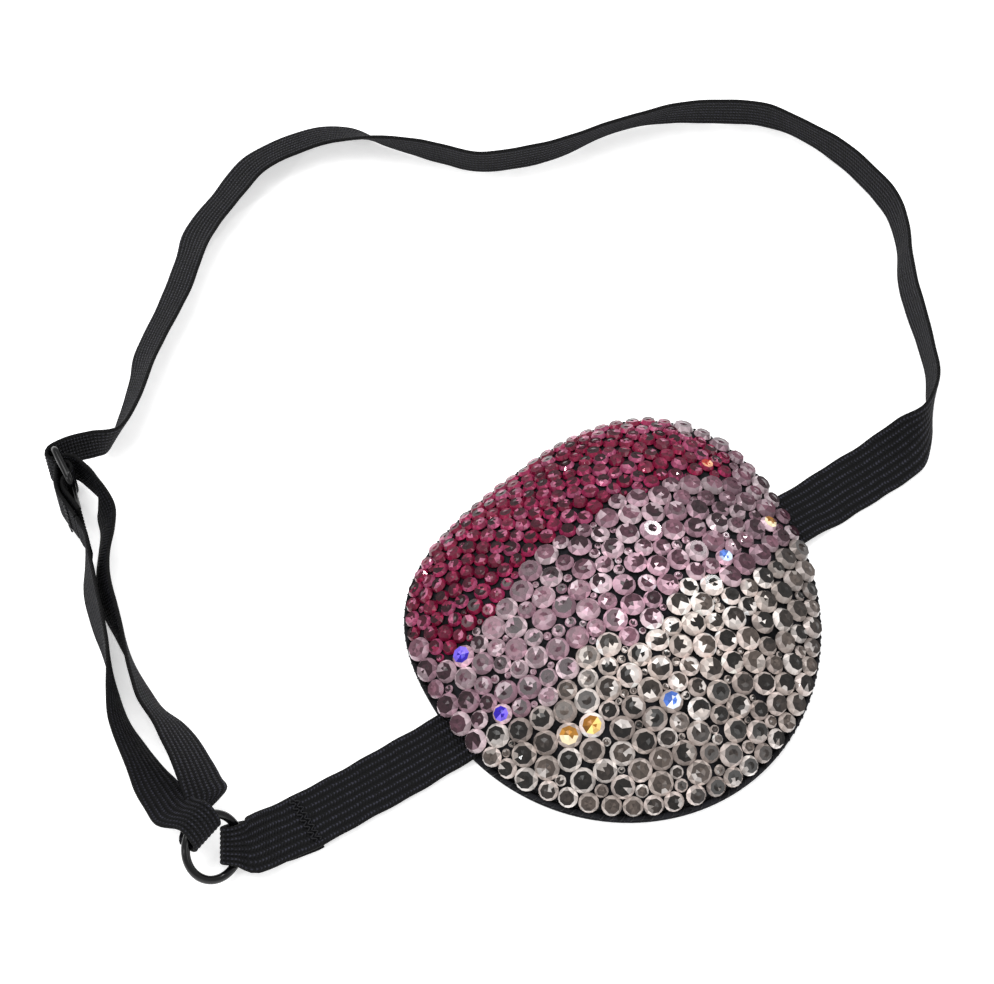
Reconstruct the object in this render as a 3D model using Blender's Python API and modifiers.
"""Bejewelled eye patch on an adjustable elastic head strap, lying on a table.

A black domed shell stands on a flat backing ring and carries rows of round flat-back stones.
A short elastic folds round a ring. A long elastic runs from the other side of the patch through
a three-bar slider, round the ring and back to the slider, where its end is sewn.
All driving dimensions are in millimetres; +Z is up and the table is z = 0.
"""
import math

import bmesh
import bpy
from mathutils import Matrix, Vector

MM = 0.001

# where the pieces lie on the table
OBJECT_SHIFT = (0.08, -3.19)
PATCH_CENTRE = (23.4, -27.9)
PATCH_ANGLE = math.radians(35.5)

# outline of the shell in the patch's own frame, u along the strap and v across it
OUTLINE_CENTRE = (-0.4, 4.8)
OUTLINE_HALF_LENGTH = 35.6
OUTLINE_TOP = 30.6
OUTLINE_BOTTOM = 39.8
TOP_EXPONENT = 2.7
BOTTOM_EXPONENT = 2.0
OUTLINE_LEAN = 1.7
LEAN_DIRECTION = math.radians(40)

# shell, lining, backing and binding
AROUND = 48
GAP = 0.3
BACKING_THICKNESS = 1.0
BACKING_LIP = 1.1
BACKING_INNER = 0.82
SHELL_THICKNESS = 1.1
SHELL_FOOT_Z = BACKING_THICKNESS + GAP
DOME_BASE_Z = 2.8
DOME_HEIGHT = 11.0
DOME_EXPONENT = 0.85
SHELL_SHARES = (0.94, 0.84, 0.7, 0.54, 0.36, 0.16)
LINING_SHARES = (0.9, 0.8, 0.66, 0.48, 0.26)
LINING_SCALE = 0.955
LINING_DROP = 1.45
LINING_THICKNESS = 0.6
BINDING_RADIUS = 0.45
BINDING_OFFSET = 0.85
BINDING_POINTS = 25
UPPER_BINDING_ARC = math.radians(168)
LOWER_BINDING_ARC = math.radians(142)

# stones
STONE_ROWS = 8.5
STONE_GAP = 0.36
STONE_LIFT = 0.3
GIRDLE_HEIGHT = 0.7
STONE_HEIGHT = 1.8
TABLE_SHARE = 0.56
ROW_STEPS = 720
FUCHSIA_EDGE = (15.2, 6.0, 8.0)
CRYSTAL_EDGE = (-6.2, 3.7)

# elastic
STRAP_WIDTH = 10.4
STRAP_THICKNESS = 0.8
EDGE_CLEARANCE = 0.2
TAB_Z = 1.75
NOTCH_WIDTH = 11.6
NOTCH_TOP = 2.55

# ring, tilted so that its left side is raised by the strands that stand on edge
RING_CENTRE = Vector((-47.3, -72.2, 6.8))
RING_RIGHT = Vector((0.766, 0.321, -0.557))
RING_UP = Vector((0.0, 0.866, 0.5))
RING_RADIUS = 5.5
RING_WIRE = 0.75

# slider, standing on edge
SLIDER_CENTRE = Vector((-77.4, -1.1, 6.5))
SLIDER_ALONG = Vector((0.45, -0.893, 0.0))
BAR_PITCH = 3.9
BAR_RADIUS = 0.7
SLIDER_OPENING = 9.8
LOOP_RADIUS = BAR_RADIUS + GAP + STRAP_THICKNESS / 2

BARTACK_SIZE = (1.1, 8.4, 0.32)
TAB_BARTACK_INSET = 4.6


def clear_scene():
    for obj in list(bpy.data.objects):
        bpy.data.objects.remove(obj)


def make_collection(name):
    collection = bpy.data.collections.new(name)
    bpy.context.scene.collection.children.link(collection)
    return collection


def make_empty(name, location, angle, parent, collection):
    empty = bpy.data.objects.new(name, None)
    empty.location = location
    empty.rotation_euler = (0, 0, angle)
    empty.parent = parent
    collection.objects.link(empty)
    return empty


def make_material(name, colour, roughness, metallic=0.0):
    material = bpy.data.materials.new(name)
    material.use_nodes = True
    shader = material.node_tree.nodes["Principled BSDF"]
    shader.inputs["Base Color"].default_value = (*colour, 1)
    shader.inputs["Roughness"].default_value = roughness
    shader.inputs["Metallic"].default_value = metallic
    return material


def add_object(name, data, material, parent, collection):
    obj = bpy.data.objects.new(name, data)
    data.materials.append(material)
    obj.parent = parent
    collection.objects.link(obj)
    return obj


def mesh_from(bm, name):
    mesh = bpy.data.meshes.new(name)
    bm.to_mesh(mesh)
    bm.free()
    return mesh


def add_solidify(obj, thickness, offset):
    modifier = obj.modifiers.new("thickness", "SOLIDIFY")
    modifier.thickness = thickness * MM
    modifier.offset = offset
    modifier.use_even_offset = True


def cut_with(obj, cutter):
    modifier = obj.modifiers.new("cut", "BOOLEAN")
    modifier.operation = "DIFFERENCE"
    modifier.solver = "EXACT"
    modifier.object = cutter


# the patch's outline and dome, in its own frame


def rim_radius(angle):
    """Distance from the outline's centre to its rim in the direction of the angle."""
    across = abs(math.cos(angle)) / OUTLINE_HALF_LENGTH
    if math.sin(angle) > 0:
        exponent = TOP_EXPONENT
        along = math.sin(angle) / OUTLINE_TOP
    else:
        exponent = BOTTOM_EXPONENT
        along = -math.sin(angle) / OUTLINE_BOTTOM
    even = (across ** exponent + along ** exponent) ** (-1 / exponent)
    return even + OUTLINE_LEAN * math.cos(2 * (angle - LEAN_DIRECTION))


def outline_point(angle, share, offset=0.0):
    radius = rim_radius(angle) * share + offset
    u = OUTLINE_CENTRE[0] + radius * math.cos(angle)
    v = OUTLINE_CENTRE[1] + radius * math.sin(angle)
    return u, v


def dome_z(share):
    return DOME_BASE_Z + DOME_HEIGHT * max(1 - share * share, 0.0) ** DOME_EXPONENT


def dome_point(angle, share):
    u, v = outline_point(angle, share)
    return Vector((u, v, dome_z(share)))


def dome_normal(angle, share):
    step = 0.01
    outward = dome_point(angle, min(share + step, 0.999)) - dome_point(angle, share - step)
    around = dome_point(angle + step, share) - dome_point(angle - step, share)
    return outward.cross(around).normalized()


def lofted_sheet(rings, crown):
    """An open sheet through closed rings of points, closed at the top by a fan to the crown."""
    bm = bmesh.new()
    loops = [[bm.verts.new(point * MM) for point in ring] for ring in rings]
    count = len(loops[0])
    for lower, upper in zip(loops, loops[1:]):
        for i in range(count):
            j = (i + 1) % count
            bm.faces.new((lower[i], lower[j], upper[j], upper[i]))
    top = bm.verts.new(crown * MM)
    for i in range(count):
        bm.faces.new((loops[-1][i], loops[-1][(i + 1) % count], top))
    return bm


def angles_around(count):
    return [2 * math.pi * i / count for i in range(count)]


def ring_at(share, z):
    return [Vector((*outline_point(angle, share), z)) for angle in angles_around(AROUND)]


def build_shell(material, parent, parts, cutters):
    rings = [ring_at(1, SHELL_FOOT_Z), ring_at(1, DOME_BASE_Z)]
    rings += [ring_at(share, dome_z(share)) for share in SHELL_SHARES]
    crown = Vector((*OUTLINE_CENTRE, dome_z(0)))
    mesh = mesh_from(lofted_sheet(rings, crown), "patch_shell")
    shell = add_object("patch_shell", mesh, material, parent, parts)
    add_solidify(shell, SHELL_THICKNESS, -1)
    for side in (-1, 1):
        cut_with(shell, strap_notch(side, parent, cutters))
    mesh.shade_smooth()
    mesh.set_sharp_from_angle(angle=math.radians(40))


def strap_notch(side, parent, cutters):
    """A box that cuts the shell's foot where an elastic passes under it."""
    height = NOTCH_TOP - BACKING_THICKNESS / 2
    bm = bmesh.new()
    bmesh.ops.create_cube(bm, size=1)
    size = Matrix.Diagonal((12 * MM, NOTCH_WIDTH * MM, height * MM, 1))
    bmesh.ops.transform(bm, matrix=size, verts=bm.verts)
    cutter = bpy.data.objects.new("strap_notch", mesh_from(bm, "strap_notch"))
    middle = OUTLINE_CENTRE[0] + side * OUTLINE_HALF_LENGTH
    cutter.location = (middle * MM, 0, (NOTCH_TOP - height / 2) * MM)
    cutter.parent = parent
    cutter.hide_render = True
    cutter.display_type = "WIRE"
    cutters.objects.link(cutter)
    return cutter


def build_lining(material, parent, parts):
    rings = [ring_at(share * LINING_SCALE, dome_z(share) - LINING_DROP) for share in LINING_SHARES]
    crown = Vector((*OUTLINE_CENTRE, dome_z(0) - LINING_DROP))
    mesh = mesh_from(lofted_sheet(rings, crown), "eye_side_lining")
    lining = add_object("eye_side_lining", mesh, material, parent, parts)
    add_solidify(lining, LINING_THICKNESS, -1)


def add_outline(curve, share, offset, count):
    spline = curve.splines.new("POLY")
    spline.points.add(count - 1)
    spline.use_cyclic_u = True
    for point, angle in zip(spline.points, angles_around(count)):
        u, v = outline_point(angle, share, offset)
        point.co = (u * MM, v * MM, 0, 1)


def build_backing(material, parent, parts):
    """The flat ring that rests on the face, with the eye opening through it."""
    curve = bpy.data.curves.new("backing_ring", "CURVE")
    curve.dimensions = "2D"
    curve.fill_mode = "BOTH"
    curve.extrude = BACKING_THICKNESS / 2 * MM
    add_outline(curve, 1.0, BACKING_LIP, AROUND)
    add_outline(curve, BACKING_INNER, 0.0, AROUND)
    backing = add_object("backing_ring", curve, material, parent, parts)
    backing.location = (0, 0, BACKING_THICKNESS / 2 * MM)


def build_binding(name, middle, arc, material, parent, parts):
    """Piping round the shell's foot, over the part of the rim that no elastic crosses."""
    curve = bpy.data.curves.new(name, "CURVE")
    curve.dimensions = "3D"
    curve.bevel_depth = BINDING_RADIUS * MM
    curve.bevel_resolution = 1
    curve.use_fill_caps = True
    spline = curve.splines.new("POLY")
    spline.points.add(BINDING_POINTS - 1)
    height = BACKING_THICKNESS + GAP + BINDING_RADIUS
    for i, point in enumerate(spline.points):
        angle = middle + arc * (i / (BINDING_POINTS - 1) - 0.5)
        u, v = outline_point(angle, 1, BINDING_OFFSET)
        point.co = (u * MM, v * MM, height * MM, 1)
    add_object(name, curve, material, parent, parts)


# stones


def row_table(share):
    """Angles round a row, with the count of stones passed so far at each of them."""
    half_pitch = 0.5 / STONE_ROWS
    angles = []
    passed = []
    total = 0.0
    step = 2 * math.pi / ROW_STEPS
    for i in range(ROW_STEPS + 1):
        angle = math.pi / 2 + i * step
        angles.append(angle)
        passed.append(total)
        here = dome_point(angle, share)
        length = (dome_point(angle + step, share) - here).length
        outer = dome_point(angle, min(share + half_pitch, 1))
        pitch = (outer - dome_point(angle, share - half_pitch)).length
        total += length / pitch
    return angles, passed


def row_angles(share):
    """Angles of the stones' centres and of the joints between them."""
    angles, passed = row_table(share)
    count = max(round(passed[-1]), 3)
    found = []
    index = 0
    for half in range(2 * count + 1):
        wanted = passed[-1] * half / (2 * count)
        while index < len(passed) - 2 and passed[index + 1] < wanted:
            index += 1
        part = (wanted - passed[index]) / (passed[index + 1] - passed[index])
        found.append(angles[index] + part * (angles[index + 1] - angles[index]))
    return found


def zone_at(angle, share):
    """Colour band of a point: fuchsia along the top, rose in the middle, crystal below."""
    u, v = outline_point(angle, share)
    if v > FUCHSIA_EDGE[0] - FUCHSIA_EDGE[1] * ((u - FUCHSIA_EDGE[2]) / OUTLINE_HALF_LENGTH) ** 2:
        return "fuchsia"
    if v > CRYSTAL_EDGE[0] + CRYSTAL_EDGE[1] * u / OUTLINE_HALF_LENGTH:
        return "rose"
    return "crystal"


def stone_frame(angle, share):
    centre = dome_point(angle, share)
    normal = dome_normal(angle, share)
    around = dome_point(angle + 0.01, share) - dome_point(angle - 0.01, share)
    cross = around.cross(normal).normalized()
    half_pitch = 0.5 / STONE_ROWS
    outer = dome_point(angle, min(share + half_pitch, 1))
    width = (outer - dome_point(angle, share - half_pitch)).length
    return centre, normal, cross, around.normalized(), width / 2 - STONE_GAP / 2


def chain_joint(bm, angle, share, shift):
    """Two corners low and two corners at the girdle, where a stone meets its neighbour."""
    centre, normal, cross, around, half = stone_frame(angle, share)
    centre = centre + around * shift
    corners = []
    for height in (STONE_LIFT, STONE_LIFT + GIRDLE_HEIGHT):
        for side in (1, -1):
            point = centre + normal * height + cross * (side * half * 0.5)
            corners.append(bm.verts.new(point * MM))
    return corners


def chain_stone(bm, angle, share, before, after):
    """One stone between two joints: low hexagon, girdle, sloping crown and flat table."""
    centre, normal, cross, _, half = stone_frame(angle, share)
    low = {}
    high = {}
    for side in (1, -1):
        point = centre + cross * (side * half)
        low[side] = bm.verts.new((point + normal * STONE_LIFT) * MM)
        high[side] = bm.verts.new((point + normal * (STONE_LIFT + GIRDLE_HEIGHT)) * MM)
    bottom = [before[0], low[1], after[0], after[1], low[-1], before[1]]
    girdle = [before[2], high[1], after[2], after[3], high[-1], before[3]]
    middle = (centre + normal * (STONE_LIFT + STONE_HEIGHT)) * MM
    level = (centre + normal * (STONE_LIFT + GIRDLE_HEIGHT)) * MM
    table = [bm.verts.new(middle + (vert.co - level) * TABLE_SHARE) for vert in girdle]
    bm.faces.new(reversed(bottom))
    bm.faces.new(table)
    for i in range(6):
        j = (i + 1) % 6
        bm.faces.new((girdle[i], girdle[j], table[j], table[i]))
        if i not in (2, 5):
            bm.faces.new((bottom[i], bottom[j], girdle[j], girdle[i]))


def build_chain(name, stones, share, closed, material, parent, parts):
    """A run of equal stones joined edge to edge, as one solid."""
    bm = bmesh.new()
    inset = STONE_GAP / 2
    joints = []
    for i, (start, _, end) in enumerate(stones):
        joints.append(chain_joint(bm, start, share, 0 if i or closed else inset))
    joints.append(joints[0] if closed else chain_joint(bm, stones[-1][2], share, -inset))
    for (_, angle, _), before, after in zip(stones, joints, joints[1:]):
        chain_stone(bm, angle, share, before, after)
    if not closed:
        for joint in (joints[0], joints[-1]):
            bm.faces.new((joint[0], joint[1], joint[3], joint[2]))
    bmesh.ops.recalc_face_normals(bm, faces=bm.faces)
    add_object(name, mesh_from(bm, name), material, parent, parts)


def colour_runs(angles, share):
    """Stones of one row as (start, centre, end) angles, grouped by colour band."""
    stones = [tuple(angles[i:i + 3]) for i in range(0, len(angles) - 1, 2)]
    zones = [zone_at(stone[1], share) for stone in stones]
    first = next((i for i in range(len(stones)) if zones[i] != zones[i - 1]), 0)
    runs = []
    for i in range(len(stones)):
        index = (first + i) % len(stones)
        if not runs or zones[index] != runs[-1][0]:
            runs.append((zones[index], []))
        runs[-1][1].append(stones[index])
    return runs


def run_name(zone, row, run, share, several):
    name = f"{zone}_stones_row_{row}"
    if several:
        middle = run[len(run) // 2][1]
        side = "left" if outline_point(middle, share)[0] < OUTLINE_CENTRE[0] else "right"
        name += f"_{side}"
    return name


def build_stones(materials, parent, parts):
    for row in range(1, int(STONE_ROWS) + 1):
        share = 1 - (row - 0.5) / STONE_ROWS
        runs = colour_runs(row_angles(share), share)
        for zone, run in runs:
            several = sum(other == zone for other, _ in runs) > 1
            name = run_name(zone, row, run, share, several)
            closed = len(runs) == 1
            build_chain(name, run, share, closed, materials[zone], parent, parts)
    build_centre_stone(materials["rose"], parent, parts)


def build_centre_stone(material, parent, parts):
    half = OUTLINE_HALF_LENGTH / STONE_ROWS / 2 - STONE_GAP
    base = dome_z(0) + STONE_LIFT
    bm = bmesh.new()
    levels = ((0, 1), (GIRDLE_HEIGHT, 1), (STONE_HEIGHT, TABLE_SHARE))
    loops = []
    for height, share in levels:
        ring = [Vector((math.cos(a), math.sin(a), 0)) * half * share for a in angles_around(8)]
        centre = Vector((*OUTLINE_CENTRE, base + height))
        loops.append([bm.verts.new((centre + point) * MM) for point in ring])
    for lower, upper in zip(loops, loops[1:]):
        for i in range(8):
            j = (i + 1) % 8
            bm.faces.new((lower[i], lower[j], upper[j], upper[i]))
    bm.faces.new(reversed(loops[0]))
    bm.faces.new(loops[-1])
    add_object("centre_stone", mesh_from(bm, "centre_stone"), material, parent, parts)


# elastic


def leaning(route, width=STRAP_WIDTH):
    """Stations of an elastic that stands on its lower edge, leaning to the left of its run."""
    stations = []
    for i, (x, y, lean) in enumerate(route):
        x0, y0, _ = route[max(i - 1, 0)]
        x1, y1, _ = route[min(i + 1, len(route) - 1)]
        left = Vector((y0 - y1, x1 - x0, 0)).normalized()
        tilt = math.radians(lean)
        across = left * math.sin(tilt) + Vector((0, 0, math.cos(tilt)))
        rise = abs(math.cos(tilt)) * width / 2 + abs(math.sin(tilt)) * STRAP_THICKNESS / 2
        stations.append((Vector((x, y, rise + EDGE_CLEARANCE)), across * width))
    return stations


def at_slider(points, width):
    """Stations of an elastic that stands upright at the slider, from (along, right) offsets."""
    right = Vector((-SLIDER_ALONG.y, SLIDER_ALONG.x, 0))
    stations = []
    for along, aside in points:
        centre = SLIDER_CENTRE + SLIDER_ALONG * along + right * aside
        stations.append((centre, Vector((0, 0, width))))
    return stations


def at_ring(points, direction, width):
    """Stations round the ring's wire, from (outward, above) offsets in its tilted plane."""
    turn = math.radians(direction)
    outward = RING_RIGHT * math.cos(turn) + RING_UP * math.sin(turn)
    across = RING_RIGHT * math.sin(turn) - RING_UP * math.cos(turn)
    above = RING_RIGHT.cross(RING_UP)
    if direction == 0:
        across = -across
    return [(RING_CENTRE + outward * out + above * up, across * width) for out, up in points]


def smooth_stations(stations, step):
    """Stations about a step apart on a smooth curve through the given ones."""
    smooth = []
    last = len(stations) - 1
    for i in range(last):
        around = [stations[min(max(k, 0), last)] for k in (i - 1, i, i + 1, i + 2)]
        length = (around[2][0] - around[1][0]).length
        count = max(2, round(length / step))
        for k in range(count):
            t = k / count
            smooth.append(tuple(catmull_rom([s[part] for s in around], t) for part in (0, 1)))
    smooth.append(stations[-1])
    return smooth


def catmull_rom(p, t):
    return 0.5 * (2 * p[1] + (p[2] - p[0]) * t + (2 * p[0] - 5 * p[1] + 4 * p[2] - p[3]) * t ** 2
                  + (3 * p[1] - p[0] - 3 * p[2] + p[3]) * t ** 3)


def build_elastic(name, stations, step, material, parent, parts):
    """A flat elastic: a strip between its two edges, given its thickness."""
    bm = bmesh.new()
    rows = []
    for centre, across in smooth_stations(stations, step):
        low = bm.verts.new((centre - across / 2) * MM)
        high = bm.verts.new((centre + across / 2) * MM)
        rows.append((low, high))
    for (a, b), (c, d) in zip(rows, rows[1:]):
        bm.faces.new((a, c, d, b))
    strap = add_object(name, mesh_from(bm, name), material, parent, parts)
    add_solidify(strap, STRAP_THICKNESS, 0)
    return strap


def flat_stations(points, side):
    """Stations of an elastic that lies flat, measured across to the left (1) or right (-1)."""
    stations = []
    for i, point in enumerate(points):
        ahead = Vector(points[min(i + 1, len(points) - 1)])
        behind = Vector(points[max(i - 1, 0)])
        run = ahead - behind
        left = Vector((-run.y, run.x, 0)).normalized()
        stations.append((Vector(point), left * side * STRAP_WIDTH))
    return stations


def long_strap_stations():
    """From the patch's right side, over the top, through the slider, round the ring and back."""
    tab = flat_stations([
        (46.6, -11.3, TAB_Z), (48.6, -9.9, TAB_Z), (51.4, -7.9, TAB_Z), (54.2, -5.9, TAB_Z)], 1)
    head = leaning([
        (58.5, -3.0, 84), (63.0, 0.1, 82), (67.4, 2.9, 78), (71.6, 5.6, 68), (75.4, 8.2, 50),
        (78.6, 12.0, 14), (80.0, 18.6, -4), (80.0, 24.9, 0), (78.9, 32.5, -2), (77.6, 39.3, -4),
        (76.9, 45.9, -6), (77.0, 52.5, -3), (75.9, 58.8, 0), (73.5, 63.7, 4), (67.2, 71.8, 9),
        (58.8, 78.6, 16), (51.8, 81.9, 14), (43.1, 82.6, 13), (34.6, 82.3, 18), (27.4, 80.8, 24),
        (20.6, 78.2, 23), (14.2, 74.8, 18), (7.2, 72.2, 16), (-3.0, 70.5, 17), (-10.6, 72.4, 17),
        (-15.8, 74.0, 20), (-22.6, 75.9, 30), (-29.6, 78.2, 50), (-36.6, 77.4, 56),
        (-46.4, 71.8, 55), (-51.8, 63.6, 50), (-56.3, 56.0, 50), (-58.2, 48.8, 41),
        (-60.6, 39.6, 42), (-64.4, 28.8, 39), (-65.6, 22.6, 31), (-67.2, 15.2, 28),
        (-69.6, 8.4, 20)])
    slider = at_slider([
        (-4.6, 7.4), (-5.2, 4.4), (-5.4, 1.6), (-5.1, -0.6), (-3.9, -1.6), (-2.75, -1.2),
        (-2.5, 0.0), (-2.35, 1.4), (-1.4, 2.6), (0.4, 3.4), (2.4, 4.1), (4.6, 4.5)], 8.8)
    outgoing = leaning([
        (-70.9, -5.2, 12), (-69.5, -8.8, 19), (-69.4, -12.6, 20), (-69.7, -17.2, 18),
        (-69.4, -21.2, 16), (-68.3, -25.2, 13), (-66.6, -29.2, 8), (-65.0, -33.2, 2),
        (-63.4, -37.2, -6), (-61.6, -41.2, -14), (-59.6, -45.0, -22)])
    to_ring = [
        (Vector((-56.3, -48.8, 5.4)), Vector((-4.4, -3.3, 8.5))),
        (Vector((-53.7, -52.8, 5.8)), Vector((-5.4, -3.6, 7.9))),
        (Vector((-51.7, -56.6, 6.2)), Vector((-5.6, -4.0, 7.4))),
        (Vector((-50.0, -60.4, 6.7)), Vector((-6.1, -4.6, 6.2))),
        (Vector((-48.8, -64.0, 7.3)), Vector((-6.2, -5.4, 3.6)))]
    ring = at_ring([(4.8, -1.55), (3.6, -1.4), (2.65, -0.8), (2.3, 0.0), (2.65, 0.8), (3.6, 1.45),
                    (4.7, 1.75), (6.0, 1.75), (7.1, 1.15), (7.5, 0.0)], 130, -6.8)
    from_ring = [
        (Vector((-53.4, -67.4, 10.4)), Vector((-5.9, -5.6, 2.2))),
        (Vector((-55.5, -64.5, 8.6)), Vector((-6.2, -5.0, 4.2))),
        (Vector((-57.9, -60.6, 7.1)), Vector((-6.0, -4.3, 6.0))),
        (Vector((-60.4, -56.2, 6.0)), Vector((-4.8, -3.2, 8.2)))]
    returning = leaning([
        (-62.7, -52.0, 27), (-64.6, -48.2, 18), (-65.7, -44.4, 9), (-66.5, -40.6, 2),
        (-67.4, -36.7, -4), (-68.5, -32.8, -8), (-69.8, -28.9, -12), (-71.0, -25.0, -14),
        (-72.0, -21.0, -14), (-72.5, -17.4, -9)])
    end = at_slider([(14.0, -1.5), (11.8, -1.72), (10.4, -1.75)], 8.8)
    return tab + head + slider + outgoing + to_ring + ring + from_ring + returning + end


def end_loop_stations():
    """The sewn end: from its cut edge, round the slider's middle bar and out as the strand."""
    inner = [(9.2, -0.65), (7.0, -1.0), (5.2, -1.35), (3.9, -1.5), (2.9, -1.35), (2.0, -0.85)]
    turn = [(LOOP_RADIUS * math.cos(a), LOOP_RADIUS * math.sin(a))
            for a in (math.radians(10 + 36 * i) for i in range(7))]
    outer = [(0.6, -1.6), (2.2, -2.35), (3.9, -2.65), (5.4, -2.55), (7.6, -2.2), (10.0, -1.82)]
    return at_slider(inner + turn + outer, 8.8)


FOLD_WIDTHS = (10.0, 8.6, 7.0, 6.3, 6.3, 6.3, 6.6, 7.0)


def short_strap_stations():
    """From the patch's left side to the ring, round its wire and back under itself."""
    run = flat_stations([
        (-1.6, -45.8, TAB_Z), (-4.6, -48.0, TAB_Z), (-9.4, -51.2, 1.6), (-17.6, -56.4, 1.5),
        (-26.6, -62.0, 1.75), (-33.0, -65.8, 1.85)], -1)
    rise = [(Vector((-37.2, -68.2, 2.55)), Vector((-4.5, 9.2, 0.6)))]
    fold = at_ring([(6.75, 1.9), (5.35, 1.75), (3.95, 1.6), (2.55, 1.1), (2.05, 0.0), (2.55, -1.1),
                    (3.95, -1.65), (5.35, -1.9)], 0, 1.0)
    fold = [(centre, across * width) for (centre, across), width in zip(fold, FOLD_WIDTHS)]
    fold[0] = (fold[0][0], Vector((-2.6, 9.4, 2.2)))
    under = [(Vector((-42.6, -69.0, 1.1)), Vector((-2.4, 7.4, 0.6))),
             (Vector((-38.4, -68.2, 0.6)), Vector((-4.2, 8.4, 0.1))),
             (Vector((-34.0, -66.2, 0.5)), Vector((-5.2, 9.0, 0.0))),
             (Vector((-31.8, -65.0, 0.5)), Vector((-5.2, 9.0, 0.0)))]
    return run + rise + fold + under


# ring, slider and stitches


def build_ring(material, parent, parts):
    bpy.ops.mesh.primitive_torus_add(major_segments=32, minor_segments=8,
                                     major_radius=RING_RADIUS * MM, minor_radius=RING_WIRE * MM)
    ring = bpy.context.object
    ring.name = "strap_ring"
    ring.data.name = "strap_ring"
    ring.data.materials.append(material)
    ring.data.shade_smooth()
    axes = Matrix((RING_RIGHT, RING_UP, RING_RIGHT.cross(RING_UP))).transposed()
    ring.location = RING_CENTRE * MM
    ring.rotation_euler = axes.to_euler()
    ring.parent = parent
    for collection in list(ring.users_collection):
        collection.objects.unlink(ring)
    parts.objects.link(ring)


def add_rounded_box(curve, centre_x, half_x, half_y, radius):
    """A closed outline with its four corners rounded."""
    points = []
    for corner in range(4):
        sign_x = 1 if corner in (0, 3) else -1
        sign_y = 1 if corner < 2 else -1
        for step in range(4):
            angle = math.pi / 2 * (corner + step / 3)
            x = centre_x + sign_x * (half_x - radius) + radius * math.cos(angle)
            y = sign_y * (half_y - radius) + radius * math.sin(angle)
            points.append((x, y))
    spline = curve.splines.new("POLY")
    spline.points.add(len(points) - 1)
    spline.use_cyclic_u = True
    for point, (x, y) in zip(spline.points, points):
        point.co = (x * MM, y * MM, 0, 1)


def build_slider(material, parent, parts):
    """A flat frame with two windows, so that three bars cross the elastic."""
    curve = bpy.data.curves.new("strap_slider", "CURVE")
    curve.dimensions = "2D"
    curve.fill_mode = "BOTH"
    curve.extrude = BAR_RADIUS * MM
    half_opening = SLIDER_OPENING / 2
    bar = 2 * BAR_RADIUS
    add_rounded_box(curve, 0, BAR_PITCH + BAR_RADIUS, half_opening + bar, 2.2)
    half_window = (BAR_PITCH - bar) / 2
    for side in (-1, 1):
        add_rounded_box(curve, side * BAR_PITCH / 2, half_window, half_opening, 0.6)
    slider = add_object("strap_slider", curve, material, parent, parts)
    weld = slider.modifiers.new("weld", "WELD")
    weld.merge_threshold = 0.00001
    bevel = slider.modifiers.new("round", "BEVEL")
    bevel.width = 0.25 * MM
    bevel.segments = 1
    right = Vector((-SLIDER_ALONG.y, SLIDER_ALONG.x, 0))
    axes = Matrix((SLIDER_ALONG, Vector((0, 0, 1)), -right)).transposed()
    slider.location = SLIDER_CENTRE * MM
    slider.rotation_euler = axes.to_euler()


def build_bartack(name, centre, across, above, material, parent, parts):
    """A row of close stitches across an elastic."""
    bpy.ops.mesh.primitive_cube_add(size=1)
    tack = bpy.context.object
    tack.name = name
    tack.data.name = name
    tack.data.transform(Matrix.Diagonal((*[size * MM for size in BARTACK_SIZE], 1)))
    tack.data.materials.append(material)
    along = across.cross(above).normalized()
    axes = Matrix((along, across.normalized(), above.normalized())).transposed()
    tack.location = centre * MM
    tack.rotation_euler = axes.to_euler()
    tack.parent = parent
    bevel = tack.modifiers.new("round", "BEVEL")
    bevel.width = 0.1 * MM
    bevel.segments = 1
    for collection in list(tack.users_collection):
        collection.objects.unlink(tack)
    parts.objects.link(tack)


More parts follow.
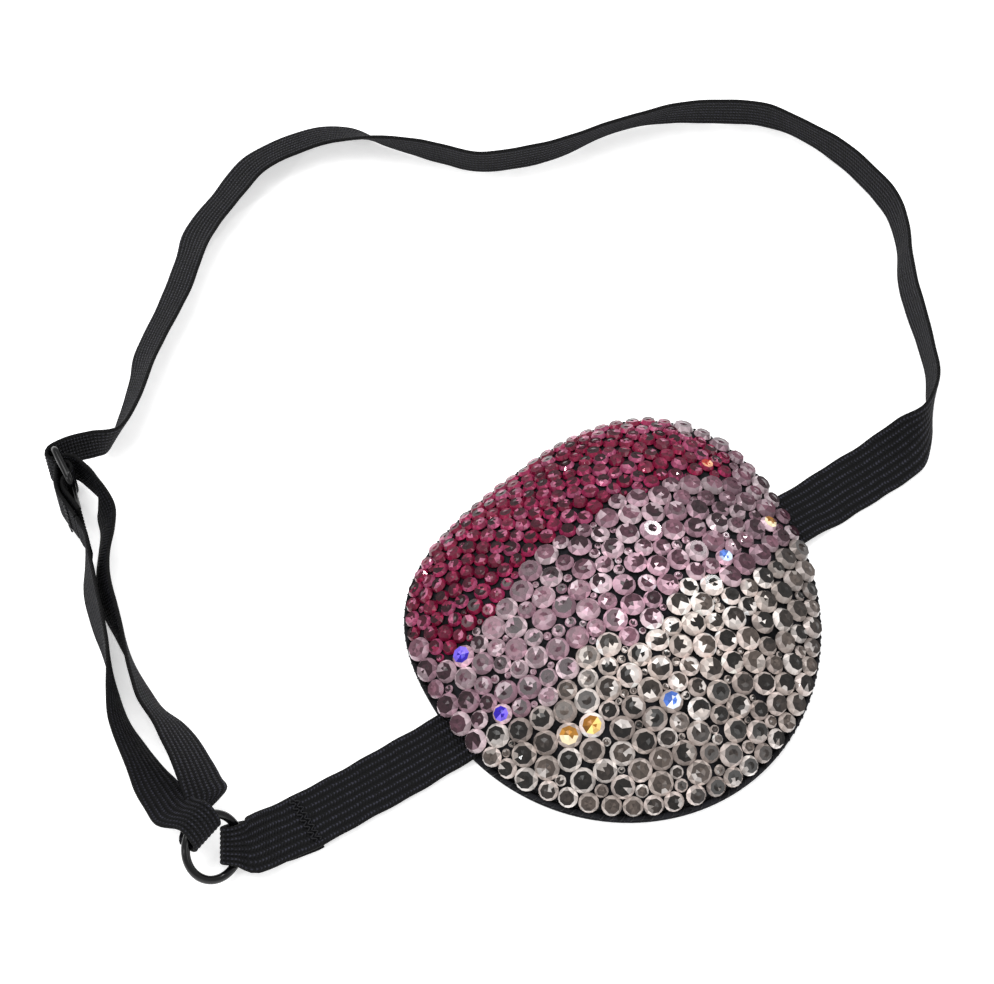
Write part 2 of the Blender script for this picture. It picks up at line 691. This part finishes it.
def build_bartacks(material, frame, patch_frame, parts):
    up = Vector((0, 0, 1))
    across_patch = Vector((0, 1, 0))
    top = TAB_Z + STRAP_THICKNESS / 2 + 0.42
    for name, side in (("left_tab_bartack", -1), ("right_tab_bartack", 1)):
        middle = OUTLINE_CENTRE[0] + side * (OUTLINE_HALF_LENGTH - TAB_BARTACK_INSET)
        build_bartack(name, Vector((middle, 0, top)), across_patch, up, material, patch_frame, parts)
    build_bartack("ring_fold_bartack", Vector((-32.4, -65.45, 2.73)), Vector((-5.2, 8.8, 0)), up,
                  material, frame, parts)
    right = Vector((-SLIDER_ALONG.y, SLIDER_ALONG.x, 0))
    place = SLIDER_CENTRE + SLIDER_ALONG * 7.4 - right * 3.0
    build_bartack("slider_end_bartack", place, up, -right, material, frame, parts)


def main():
    clear_scene()
    parts = make_collection("eye_patch")
    cutters = make_collection("cutters")
    shift = (OBJECT_SHIFT[0] * MM, OBJECT_SHIFT[1] * MM, 0)
    frame = make_empty("object_frame", shift, 0, None, parts)
    place = (PATCH_CENTRE[0] * MM, PATCH_CENTRE[1] * MM, 0)
    patch_frame = make_empty("patch_frame", place, PATCH_ANGLE, frame, parts)

    felt = make_material("black_felt", (0.012, 0.012, 0.014), 0.9)
    lining = make_material("soft_lining", (0.02, 0.02, 0.022), 0.95)
    elastic = make_material("black_elastic", (0.010, 0.010, 0.013), 0.75)
    thread = make_material("black_thread", (0.014, 0.014, 0.018), 0.6)
    gloss = make_material("gloss_black", (0.01, 0.01, 0.011), 0.15)
    stones = {
        "fuchsia": make_material("fuchsia_stone", (0.42, 0.03, 0.12), 0.08, 0.3),
        "rose": make_material("rose_stone", (0.72, 0.52, 0.56), 0.08, 0.3),
        "crystal": make_material("crystal_stone", (0.78, 0.77, 0.74), 0.08, 0.3),
    }

    build_shell(felt, patch_frame, parts, cutters)
    build_lining(lining, patch_frame, parts)
    build_backing(felt, patch_frame, parts)
    bindings = (
        ("edge_binding_upper", math.pi / 2, UPPER_BINDING_ARC),
        ("edge_binding_lower", -math.pi / 2, LOWER_BINDING_ARC),
    )
    for name, middle, arc in bindings:
        build_binding(name, middle, arc, felt, patch_frame, parts)
    build_stones(stones, patch_frame, parts)

    build_elastic("long_strap", long_strap_stations(), 3.2, elastic, frame, parts)
    build_elastic("strap_end_loop", end_loop_stations(), 1.2, elastic, frame, parts)
    build_elastic("short_strap", short_strap_stations(), 2.0, elastic, frame, parts)
    build_ring(gloss, frame, parts)
    build_slider(gloss, frame, parts)
    build_bartacks(thread, frame, patch_frame, parts)


main()
